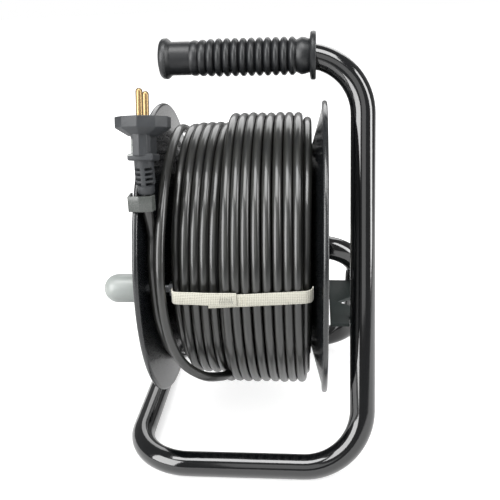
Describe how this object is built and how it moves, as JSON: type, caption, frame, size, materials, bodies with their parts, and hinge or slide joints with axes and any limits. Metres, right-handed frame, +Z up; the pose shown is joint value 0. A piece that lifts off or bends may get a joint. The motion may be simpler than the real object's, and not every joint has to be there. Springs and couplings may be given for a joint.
{
  "type": "extension cord reel",
  "caption": "Free-standing extension cord reel: a black steel drum on a bent tube frame with a ribbed grip, wound with black flat-laid PVC cord, its plug clipped to the front flange.",
  "frame": {"origin": "on the floor, under the middle of the reel's box without its cord", "axes": "+Z up, +X along the drum's axle from the socket side towards the rear tubes"},
  "size_m": [0.2136, 0.25, 0.3385],
  "materials": {
    "gloss_black_paint": "gloss black paint",
    "satin_black_paint": "satin black paint",
    "grip_plastic": "matte moulded",
    "grey_plastic": "satin moulded",
    "nylon": "satin moulded",
    "cord_pvc": "glossy soft PVC",
    "plug_plastic": "matte soft PVC",
    "socket_plastic": "matte moulded",
    "zinc_steel": "bright zinc plate",
    "brass": "satin",
    "nickel_plate": "nickel plate",
    "red_plastic": "satin moulded",
    "webbing": "woven tape"
  },
  "bodies": {
    "frame": {"frame_tube": "gloss_black_paint", "tie_plate": "gloss_black_paint", "handle_grip": "grip_plastic", "axle_washer": "zinc_steel", "retaining_pin": "zinc_steel"},
    "drum": {"rear_flange": "satin_black_paint", "front_flange": "satin_black_paint", "drum_core": "satin_black_paint", "knob_base": "grey_plastic", "plug_clip": "grey_plastic", "rear_bush": "nylon", "front_bush": "nylon", "terminal_block": "nylon", "cord_coil": "cord_pvc", "cord_free": "cord_pvc", "inner_lead": "cord_pvc", "plug_body": "plug_plastic", "cord_gland": "plug_plastic", "socket_plate": "socket_plastic", "contact_carrier": "socket_plastic", "thermal_cut_out": "socket_plastic", "socket_1": "socket_plastic", "socket_2": "socket_plastic", "socket_3": "socket_plastic", "socket_4": "socket_plastic", "bearing_plate": "zinc_steel", "knob_pin": "zinc_steel", "knob_nut": "zinc_steel", "tie_bolt_1": "zinc_steel", "tie_bolt_2": "zinc_steel", "tie_bolt_3": "zinc_steel", "tie_bolt_4": "zinc_steel", "tie_nut_1": "zinc_steel", "tie_nut_2": "zinc_steel", "tie_nut_3": "zinc_steel", "tie_nut_4": "zinc_steel", "contact_1a": "brass", "contact_1b": "brass", "contact_2a": "brass", "contact_2b": "brass", "contact_3a": "brass", "contact_3b": "brass", "contact_4a": "brass", "contact_4b": "brass", "contact_rail_live": "brass", "contact_rail_neutral": "brass", "plug_pin_1": "nickel_plate", "plug_pin_2": "nickel_plate", "strap_band": "webbing"},
    "knob": {"winding_knob": "grey_plastic"},
    "reset_button": {"reset_button": "red_plastic"}
  },
  "joints": [
    {"name": "drum_spin", "type": "hinge", "parent": "frame", "child": "drum", "pos_m": [0.01915, 0, 0.15766], "axis": [1, 0, 0], "range_deg": [-20, 90]},
    {"name": "knob_spin", "type": "hinge", "parent": "drum", "child": "knob", "pos_m": [-0.08585, -0.08, 0.15266], "axis": [1, 0, 0], "continuous": true},
    {"name": "reset_press", "type": "slide", "parent": "drum", "child": "reset_button", "axis": [1, 0, 0], "range_m": [0, 0.0018], "stiffness_N_per_m": 900, "springref_m": -0.0006}
  ]
}
